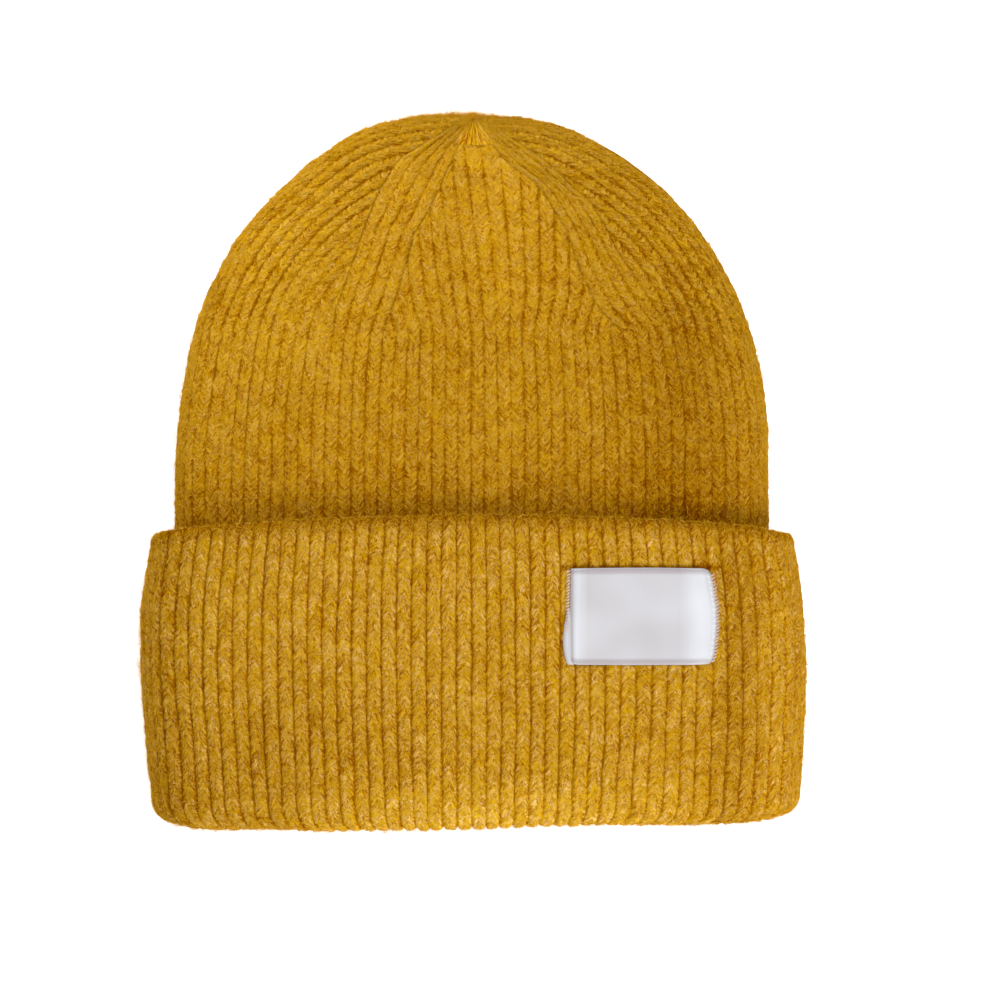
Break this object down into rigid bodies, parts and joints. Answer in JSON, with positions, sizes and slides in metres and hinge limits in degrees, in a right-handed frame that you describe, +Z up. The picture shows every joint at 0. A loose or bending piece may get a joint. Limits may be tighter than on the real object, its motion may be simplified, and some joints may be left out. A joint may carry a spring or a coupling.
{
  "type": "knit beanie",
  "caption": "Rib-knit beanie lying flat, with a four-gore gathered crown, a deep turned-up cuff and a plain sewn-on satin label.",
  "frame": {"origin": "on the resting plane, under the middle of the hat as it lies flat on its back", "axes": "+Z up out of the label side, +Y towards the crown's apex, +X towards the label, mouth towards -Y"},
  "size_m": [0.21, 0.2269, 0.0424],
  "materials": {
    "mustard_yarn": "brushed heathered rib knit, soft and matt",
    "linking_yarn": "matt linking yarn",
    "white_satin": "woven satin ribbon",
    "white_thread": "polyester sewing thread",
    "care_ribbon": "plain woven ribbon"
  },
  "bodies": {
    "hat": {"knit_body": "mustard_yarn", "crown_gather_yarn": "mustard_yarn", "back_seam_yarn": "linking_yarn"},
    "cuff": {"turned_cuff": "mustard_yarn", "cuff_seam_yarn": "linking_yarn", "front_label": "white_satin", "label_stitch_left": "white_thread", "label_stitch_right": "white_thread"},
    "care_flap": {"care_label": "care_ribbon"}
  },
  "joints": [
    {"name": "cuff_turn_down", "type": "slide", "parent": "hat", "child": "cuff", "axis": [0, -1, 0], "range_m": [0, 0.09]},
    {"name": "care_label_lift", "type": "hinge", "parent": "hat", "child": "care_flap", "pos_m": [0.0022, -0.0625, 0.0122], "axis": [0, -1, 0], "range_deg": [0, 20]}
  ]
}
